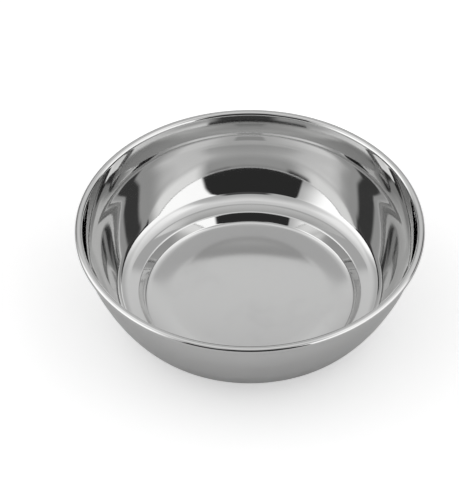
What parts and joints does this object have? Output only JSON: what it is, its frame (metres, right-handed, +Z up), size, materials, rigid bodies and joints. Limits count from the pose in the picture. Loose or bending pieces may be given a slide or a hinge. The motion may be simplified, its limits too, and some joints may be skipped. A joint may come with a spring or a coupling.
{
  "type": "shaving bowl",
  "caption": "Round flared steel bowl for working up shaving lather, with a rolled wired rim and a flat foot plate pressed down below the floor.",
  "frame": {"origin": "on the bowl's axis at the underside of the foot, which is the centre of the bounding box's bottom face", "axes": "+Z up along the axis of revolution, towards the mouth; X and Y are alike, because the bowl is round"},
  "size_m": [0.12, 0.12, 0.0371],
  "materials": {
    "polished_steel": "polished",
    "drawn_wire": "satin"
  },
  "bodies": {
    "root": {"bowl_shell": "polished_steel", "rim_wire": "drawn_wire"}
  },
  "joints": []
}
